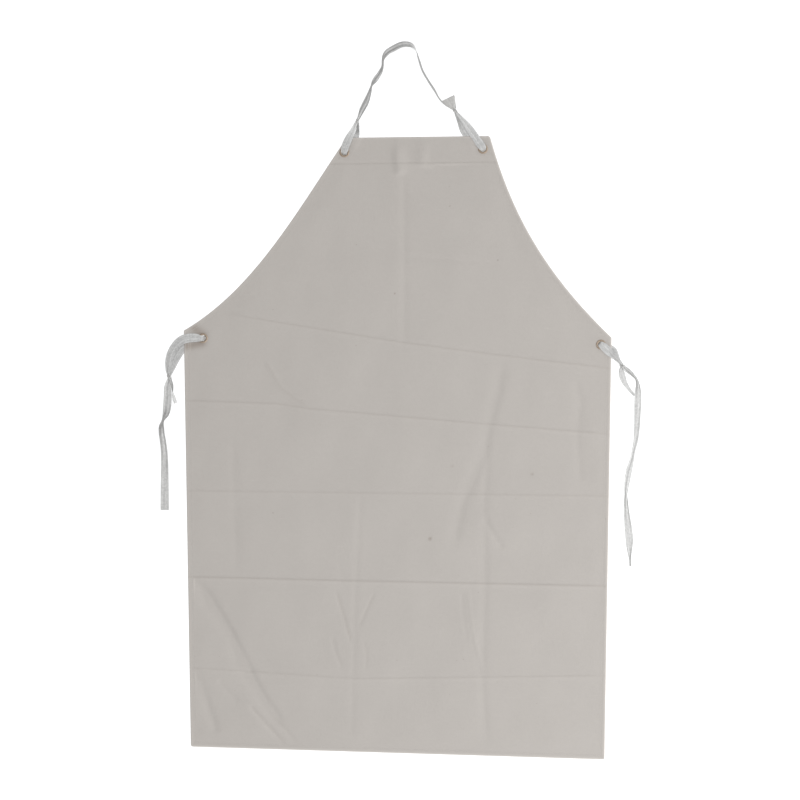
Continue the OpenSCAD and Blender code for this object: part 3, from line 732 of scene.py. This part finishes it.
def crease_relief(xy):
    """Height of the creases, in mm, and the painted shade along their lines."""
    wrinkle = np.zeros(len(xy))
    stain_and_shade = np.zeros(len(xy))
    for height, left_width, right_width, dark, line in CREASES:
        d, part, left = distance_to_line(xy, line)
        ends = 1.0
        if abs(line[0][0]) < RUNS_OUT:
            ends = ends * smoothstep(0, FADE, part)
        if abs(line[-1][0]) < RUNS_OUT:
            ends = ends * smoothstep(0, FADE, 1 - part)
        wrinkle += height * np.exp(-((d / np.where(left, left_width, right_width)) ** 2)) * ends
        # Painted shade along the crease line
        stain_and_shade += dark * np.exp(-((d / 1.5) ** 2)) * ends
    return wrinkle, stain_and_shade


def strand_rise(xy):
    """How far the back strands of the loops lift the cloth that lies on them."""
    rise = np.zeros(len(xy))
    for route in UNDER_STRANDS:
        d, _, _ = distance_to_line(xy, np.array(route)[:, :2])
        rise = np.maximum(rise, STRAND_RISE * np.exp(-((d / 10) ** 4)))
    return rise


def eyelet_distance(xy):
    """Distance from the nearest eyelet's middle."""
    near = np.full(len(xy), 1e9)
    for at in EYELETS.values():
        near = np.minimum(near, np.linalg.norm(xy - at, axis=1))
    return near


def cloth_stain_and_shade(xy, top, near):
    """Real stains for the spots, and painted shade in the bib hem's seam groove, round the eyelet rims
    and beside the pulled left waist loop.
    """
    # Painted shade in the seam groove of the bib hem
    stain_and_shade = 0.12 * np.exp(-(((top - TOP_STITCH) / 1.3) ** 2))
    # Real stains
    for x, y, r, deep in SPOTS:
        stain_and_shade += deep * np.exp(-((xy[:, 0] - x) ** 2 + (xy[:, 1] - y) ** 2) / r**2)
    # Painted shade round the eyelet rims
    stain_and_shade += 0.10 * np.exp(-(((near - 8.5) / 3.5) ** 2))
    # Painted shade beside the pulled loop
    for line in PULLED:
        d, _, _ = distance_to_line(xy, line)
        stain_and_shade += 0.62 * np.exp(-((d / 7) ** 2))
    return stain_and_shade


def cloth_levels(xy):
    """Height of the front and back of the cloth, in mm, and the values for its material."""
    narrow, along, _ = distance_to_line(xy, NARROW_EDGE)
    top, _, _ = distance_to_line(xy, TOP_EDGE)
    edge = np.minimum(narrow, top)
    near = eyelet_distance(xy)
    wrinkle, stain_and_shade = crease_relief(xy)
    narrow_hem = 1 - smoothstep(9.2, 13, narrow)
    top_hem = 1 - smoothstep(47, 51, top)
    hem = np.maximum(narrow_hem, top_hem)
    folded = HEM_T - CLOTH_T
    inside = smoothstep(6, 34, edge)
    under = folded * (1 - hem) + wrinkle * (0.3 + 0.7 * inside) + 0.5 * undulation(xy) * inside
    low = LEAST_GAP * np.exp((under - LEAST_GAP) / LEAST_GAP)
    under = np.where(under > LEAST_GAP, under, low)
    under = np.maximum(under, strand_rise(xy))
    groove = 0.14 * np.exp(-(((narrow - STITCH) / 0.9) ** 2))
    groove += 0.28 * np.exp(-(((top - TOP_STITCH) / 1.2) ** 2))
    run = along * NARROW_RUN
    roping = np.sin(2 * math.pi * (run / 13 + narrow / 9) + 2 * np.sin(run / 47))
    belt = np.exp(-(((narrow - 3.6) / 2.2) ** 2))
    front = under + CLOTH_T + folded * hem - groove + 0.06 * roping * belt
    seat = 1 - smoothstep(FLANGE_R, 26, near)
    front = front + (HEM_T - front) * np.where(near < FLANGE_R, 1, seat)
    tight = 1 - smoothstep(9.3, 11, near)
    back = under + (front - CLOTH_T - under) * tight
    back = np.minimum(back, front - 0.5)
    round_off = np.sqrt(np.clip(1 - (1 - np.clip(edge / EDGE_ROUND, 0, 1)) ** 2, 0, 1))
    middle = (front + back) / 2
    front = middle + (front - middle) * round_off
    back = middle + (back - middle) * round_off
    # Pale rims along the edges: real wear, and a painted highlight of the rounded edge
    wear_and_highlight = 0.75 * np.exp(-((edge / 2.2) ** 2))
    stain_and_shade += cloth_stain_and_shade(xy, top, near)
    return front, np.maximum(back, 0), np.clip(wear_and_highlight, 0, 1), np.clip(stain_and_shade, 0, 0.9)


# ---- cloth ----------------------------------------------------------------------------------

ROW_STEP = 2.9
MIDDLE_COLUMNS = 240
CORNER_ROUND = 1.1
NEAR_CREASE = [-8, -6, -4.5, -3.3, -2.3, -1.4, -0.7, 0, 0.7, 1.4, 2.3, 3.3, 4.5, 6, 8]
TOP_DEPTHS = np.array([
    60, 57, 54, 52, 50.5, 49, 47.5, 46.2, 45.2, 44.4, 43.6, 42.8, 41.6, 39.5, 36, 32, 28, 24, 20,
    16, 12, 9, 6.5, 4.5, 3, 1.8, 1, 0.4, 0,
])


def cloth_rows():
    """The left and right end of each row of the cloth's grid, and which row each crease is."""
    tops = [arm_at_depth(arm, corner, TOP_DEPTHS)
            for arm, corner in ((LEFT_ARM, TOP_L), (RIGHT_ARM, TOP_R))]
    heights = np.array([(HEM_L[1] + step, HEM_R[1] + step) for step in EDGE_STEPS])
    creases = []
    for crease in LONG_CREASES:
        stop = np.array((crease[0][1], crease[-1][1]))
        start, end = heights[-1], stop + NEAR_CREASE[0]
        count = int((end - start).max() / ROW_STEP)
        heights = np.concatenate([heights, np.linspace(start, end, count)[1:-1]])
        creases.append(len(heights) + NEAR_CREASE.index(0))
        heights = np.concatenate([heights, stop + np.array(NEAR_CREASE)[:, None]])
    end = np.array((tops[0][0][1], tops[1][0][1]))
    count = int((end - heights[-1]).max() / ROW_STEP)
    heights = np.concatenate([heights, np.linspace(heights[-1], end, count)[1:-1]])
    ends = []
    for side, (hem, arm) in enumerate(((HEM_L, LEFT_ARM), (HEM_R, RIGHT_ARM))):
        line = np.concatenate([[hem], arm])
        y = heights[:, side]
        y[np.argmin(np.abs(y - arm[0][1]))] = arm[0][1]
        ends.append(np.concatenate([
            np.stack([np.interp(y, line[:, 1], line[:, 0]), y], 1), tops[side]]))
    return ends, creases


def cloth_grid():
    """The points of the cloth's grid, seen from above, and the row of the fold."""
    (left, right), creases = cloth_rows()
    way = unit(right - left)
    spread = []
    for ends in (left, right):
        along = unit(np.gradient(ends, axis=0))
        slant = np.abs(way[:, 0] * along[:, 1] - way[:, 1] * along[:, 0])
        factor = 1 / np.clip(slant, 0.35, 1)
        kernel = np.array([1, 2, 3, 2, 1]) / 9
        padded = np.pad(factor, 2, mode="edge")
        spread.append(np.convolve(padded, kernel, mode="valid"))
    steps = np.array(EDGE_STEPS)
    width = np.linalg.norm(right - left, axis=1)
    near = steps[None, :] * spread[0][:, None]
    far = width[:, None] - steps[None, ::-1] * spread[1][:, None]
    share = np.linspace(0, 1, MIDDLE_COLUMNS)[None, 1:-1]
    inner = near[:, -1:] + (far[:, :1] - near[:, -1:]) * share
    along = np.concatenate([near, inner, far], 1)
    grid = left[:, None, :] + way[:, None, :] * along[:, :, None]
    room = smoothstep(20, 70, np.minimum(along, width[:, None] - along))
    for row, crease in zip(creases, LONG_CREASES):
        x, y = np.array(crease, float).T
        bend = np.interp(grid[row, :, 0], x, y) - grid[row, :, 1]
        rows = 1 - smoothstep(8, 30, np.abs(np.arange(len(grid)) - row))
        grid[:, :, 1] += rows[:, None] * bend[None, :] * room
    corners = ((HEM_L, (1, 1)), (HEM_R, (-1, 1)), (TOP_L, (1, -1)), (TOP_R, (-1, -1)))
    for corner, inward in corners:
        d = np.linalg.norm(grid - corner, axis=2)
        grid += (CORNER_ROUND * np.exp(-((d / 2.2) ** 2)))[:, :, None] * unit(inward)
    return grid, creases[FOLD_CREASE]


# The back's coarse faces are blocks of this many cells, and these many cells stay fine
BLOCK = 3
EDGE_CELLS = 21
FOLD_CELLS = 12
TOP_CELLS = 36


def back_faces(rows, columns, fold_row):
    """Faces of the back: fine at the edges, the fold and the bib hem, and coarser in between."""
    last = columns - 1 - EDGE_CELLS
    last -= (last - EDGE_CELLS) % BLOCK
    fine = np.ones((rows - 1, columns - 1), bool)
    faces = []
    spans = ((EDGE_CELLS, fold_row - FOLD_CELLS), (fold_row + FOLD_CELLS, rows - TOP_CELLS))
    for first_row, last_row in spans:
        last_row -= (last_row - first_row) % BLOCK
        fine[first_row:last_row, EDGE_CELLS:last] = False
        for r in range(first_row, last_row, BLOCK):
            for c in range(EDGE_CELLS, last, BLOCK):
                steps = [BLOCK if inner else 1 for inner in (
                    r != first_row, c + BLOCK != last, r + BLOCK != last_row, c != EDGE_CELLS)]
                loop = [(r, c + k) for k in range(0, BLOCK, steps[0])]
                loop += [(r + k, c + BLOCK) for k in range(0, BLOCK, steps[1])]
                loop += [(r + BLOCK, c + BLOCK - k) for k in range(0, BLOCK, steps[2])]
                loop += [(r + BLOCK - k, c) for k in range(0, BLOCK, steps[3])]
                faces.append([i * columns + j for i, j in loop])
    return grid_faces(rows, columns)[fine.reshape(-1)].tolist() + faces


def make_cloth():
    """The cloth: its front and back share the points of its edge."""
    grid, fold_row = cloth_grid()
    rows, columns = grid.shape[:2]
    xy = grid.reshape(-1, 2)
    front, back, wear_and_highlight, stain_and_shade = cloth_levels(xy)
    edge = np.zeros((rows, columns), bool)
    edge[[0, -1], :] = True
    edge[:, [0, -1]] = True
    edge = edge.reshape(-1)
    middle = (front + back) / 2
    front = np.where(edge, middle, front)
    top_points = np.column_stack([xy, front])
    low_faces = back_faces(rows, columns, fold_row)
    used = np.zeros(len(xy), bool)
    used[[i for face in low_faces for i in face]] = True
    used &= ~edge
    low_index = np.arange(len(xy))
    low_index[used] = len(xy) + np.arange(used.sum())
    low_points = np.column_stack([xy, back])[used]
    faces = grid_faces(rows, columns).tolist()
    faces += [low_index[face[::-1]].tolist() for face in low_faces]
    obj = new_mesh("cloth", np.concatenate([top_points, low_points]), faces, CLOTH)
    add_value(obj, "wear_and_highlight", np.concatenate([wear_and_highlight, wear_and_highlight[used]]))
    add_value(obj, "stain_and_shade", np.concatenate([stain_and_shade, stain_and_shade[used]]))
    return obj


HOLE_SIDES = 48


def cut_holes(obj):
    """Cut the eyelet holes through a mesh."""
    for name, at in EYELETS.items():
        a = np.linspace(0, 2 * math.pi, HOLE_SIDES, endpoint=False)
        circle = np.stack([at[0] + HOLE_R * np.cos(a), at[1] + HOLE_R * np.sin(a)], 1)
        low = np.column_stack([circle, np.full(HOLE_SIDES, -5.0)])
        high = np.column_stack([circle, np.full(HOLE_SIDES, 12.0)])
        faces = [list(range(HOLE_SIDES))[::-1], [HOLE_SIDES + i for i in range(HOLE_SIDES)]]
        for i in range(HOLE_SIDES):
            n = (i + 1) % HOLE_SIDES
            faces.append([i, n, HOLE_SIDES + n, HOLE_SIDES + i])
        cutter = new_mesh(f"cutter_{name}", np.concatenate([low, high]), faces, CLOTH, smooth=False)
        change = obj.modifiers.new("hole", "BOOLEAN")
        change.operation = "DIFFERENCE"
        change.solver = "EXACT"
        change.object = cutter
        bpy.context.view_layer.update()
        solid = obj.evaluated_get(bpy.context.evaluated_depsgraph_get())
        mesh = bpy.data.meshes.new_from_object(solid)
        obj.modifiers.clear()
        obj.data = mesh
        bpy.data.objects.remove(cutter)
    return obj


cloth = cut_holes(make_cloth())
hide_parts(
    "upper_panel", "lower_panel", "top_hem", "left_arm_hem", "right_arm_hem",
    "left_side_hem_upper", "right_side_hem_upper", "left_side_hem_lower", "right_side_hem_lower",
    "bottom_hem")


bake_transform(cloth)

# ---- stitches -------------------------------------------------------------------------------

STITCH_PITCH = 3.1
STITCH_LONG = 2.7
STITCH_R = 0.3
STITCH_RINGS = 7
STITCH_SIDES = 8
EYELET_CLEAR = 9.6
SEAM_STOP = 7
ARM_STOP = 8


def inset(line, d):
    """A line moved d to its left."""
    way = unit(np.gradient(line, axis=0))
    return line + d * np.stack([-way[:, 1], way[:, 0]], 1)


def points_at(line, x):
    """The points of a line at these distances along it."""
    s = distance_along(line)
    return np.stack([np.interp(x, s, line[:, 0]), np.interp(x, s, line[:, 1])], 1)


def trimmed(line, start, end):
    """A line without its first and last few millimetres."""
    return points_at(line, np.linspace(start, distance_along(line)[-1] - end, 200))


def stitch_row(name, lines, seed):
    """Rows of lockstitches lying in their groove, each a short plump length of thread."""
    rng = np.random.default_rng(seed)
    middles, ways = [], []
    for line in lines:
        p = points_at(line, np.arange(STITCH_PITCH / 2, distance_along(line)[-1], STITCH_PITCH))
        clear = eyelet_distance(p) > EYELET_CLEAR
        middles.append(p[clear])
        ways.append(unit(np.gradient(p, axis=0))[clear])
    p, way = np.concatenate(middles), np.concatenate(ways)
    turn = rng.normal(0, 0.07, len(p))
    way = np.stack([
        way[:, 0] * np.cos(turn) - way[:, 1] * np.sin(turn),
        way[:, 0] * np.sin(turn) + way[:, 1] * np.cos(turn),
    ], 1)
    side = np.stack([-way[:, 1], way[:, 0]], 1)
    p = p + side * rng.normal(0, 0.08, len(p))[:, None]
    front = cloth_levels(p)[0]
    t = np.linspace(-1, 1, STITCH_RINGS)
    plump = STITCH_R * np.sqrt(np.clip(1 - np.abs(t) ** 4, 0.05, 1))[:, None]
    arch = (0.14 - 0.42 * t**4)[:, None]
    a = np.linspace(0, 2 * math.pi, STITCH_SIDES, endpoint=False)[None, :]
    along = (STITCH_LONG / 2 * t)[None, :, None]
    across = (plump * np.cos(a))[None]
    points = np.zeros((len(p), STITCH_RINGS, STITCH_SIDES, 3))
    for k in (0, 1):
        points[..., k] = p[:, k, None, None] + way[:, k, None, None] * along
        points[..., k] += side[:, k, None, None] * across
    points[..., 2] = front[:, None, None] + (arch + plump * np.sin(a))[None]
    size = STITCH_RINGS * STITCH_SIDES
    starts = np.arange(len(p)) * size
    one = grid_faces(STITCH_RINGS, STITCH_SIDES, closed=True)
    faces = (one[None] + starts[:, None, None]).reshape(-1, 4).tolist()
    for start in starts.tolist():
        faces.append([start + j for j in range(STITCH_SIDES)][::-1])
        faces.append([start + size - STITCH_SIDES + j for j in range(STITCH_SIDES)])
    obj = new_mesh(name, points.reshape(-1, 3), faces, THREAD)
    return obj


def between(a, b, count=40):
    return a + np.linspace(0, 1, count)[:, None] * (b - a)


top_ends = [
    arm_at_depth(LEFT_ARM, TOP_L, [TOP_STITCH])[0],
    arm_at_depth(RIGHT_ARM, TOP_R, [TOP_STITCH])[0],
]
top_seam = trimmed(between(*top_ends), ARM_STOP, ARM_STOP)
arm_seams = [inset(LEFT_ARM, -STITCH)[4:-2], inset(RIGHT_ARM, STITCH)[4:-2]]
bottom_seam = trimmed(inset(between(HEM_L, HEM_R), STITCH), SEAM_STOP, SEAM_STOP)
side_seams = [
    trimmed(inset(between(HEM_L, WAIST_L), -STITCH), SEAM_STOP, 4),
    trimmed(inset(between(HEM_R, WAIST_R), STITCH), SEAM_STOP, 4),
]
ROWS = (
    ("top_stitches", [top_seam], ["top_stitching"]),
    ("arm_stitches", arm_seams, ["left_arm_stitching", "right_arm_stitching"]),
    ("bottom_stitches", [bottom_seam], ["bottom_stitching"]),
    ("side_stitches", side_seams,
     ["left_side_stitching_upper", "right_side_stitching_upper", "left_side_stitching_lower",
      "right_side_stitching_lower"]),
)
stitches = []
for k, (name, lines, nodes) in enumerate(ROWS):
    row = stitch_row(name, lines, SEED + k)
    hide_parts(*nodes)
    stitches.append(row)
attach(stitches[0], "apron")
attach(stitches[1], "apron")
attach(stitches[2], "skirt")
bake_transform(stitches[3])

# ---- eyelets --------------------------------------------------------------------------------


def turned(name, profile, at, material, count=96):
    """A ring turned from a closed outline of (radius, height)."""
    profile = np.asarray(profile, float)
    a = np.linspace(0, 2 * math.pi, count, endpoint=False)
    points = np.zeros((count, len(profile), 3))
    points[..., 0] = at[0] + np.cos(a)[:, None] * profile[None, :, 0]
    points[..., 1] = at[1] + np.sin(a)[:, None] * profile[None, :, 0]
    points[..., 2] = profile[None, :, 1]
    k = len(profile)
    i = np.arange(count)[:, None]
    j = np.arange(k)[None, :]
    quads = np.stack([
        i * k + j,
        ((i + 1) % count) * k + j,
        ((i + 1) % count) * k + (j + 1) % k,
        i * k + (j + 1) % k,
    ], -1).reshape(-1, 4)
    obj = new_mesh(name, points.reshape(-1, 3), quads, material)
    fix_normals(obj)
    return obj


EYELET_PROFILE = [
    (5.0, 0.95), (5.4, 0.95), (5.42, 1.3), (5.45, 1.9), (5.7, 2.0), (6.6, 2.02), (7.6, 2.0),
    (8.3, 1.98), (8.5, 2.06), (8.46, 2.24), (8.2, 2.46), (7.7, 2.68), (7.1, 2.83), (6.5, 2.88),
    (6.0, 2.83), (5.5, 2.64), (5.15, 2.34), (5.02, 2.0), (5.0, 1.5),
]
WASHER_PROFILE = [
    (5.5, 1.0), (5.6, 0.95), (6.4, 0.96), (7.2, 1.0), (7.8, 1.04), (8.0, 1.12), (7.95, 1.24),
    (7.7, 1.3), (6.6, 1.3), (5.6, 1.3), (5.5, 1.26),
]
for name, at in EYELETS.items():
    for kind, profile in (("eyelet", EYELET_PROFILE), ("washer", WASHER_PROFILE)):
        ring = turned(f"{name}_{kind}_brass", profile, at, BRASS)
        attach(ring, "apron")
        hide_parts(f"{name}_{kind}")

# ---- floor and light ------------------------------------------------------------------------


def floor_material():
    """Pale, matt and almost plain."""
    n = Nodes("pale_floor", 0.9)
    cloud = n.noise(n.place, 2.5, 2.0)
    colour = n.mix(n.ramp(cloud, 0.3, 0.7), (0.93, 0.93, 0.93, 1), (0.95, 0.95, 0.95, 1))
    return n.finish(colour)


HALF_FLOOR = 6000.0
CORNERS = ((-1, -1), (1, -1), (1, 1), (-1, 1))
floor = new_mesh(
    "floor", [(x * HALF_FLOOR, y * HALF_FLOOR, 0) for x, y in CORNERS], [[0, 1, 2, 3]],
    floor_material(), smooth=False)

key_data = bpy.data.lights.new("key", "AREA")
key_data.shape = "SQUARE"
key_data.size = 2.1
key_data.energy = 365
key_data.color = (0.98, 0.99, 1.0)
key_data.use_shadow = False
key = bpy.data.objects.new("key", key_data)
key.location = (4.2, -1.8, 3.0)
key.rotation_euler = (-key.location).to_track_quat("-Z", "Y").to_euler()
scene.collection.objects.link(key)
world = bpy.data.worlds.new("studio")
scene.world = world
world.use_nodes = True
world.node_tree.nodes["Background"].inputs["Color"].default_value = (1, 1, 1, 1)
world.node_tree.nodes["Background"].inputs["Strength"].default_value = 0.72
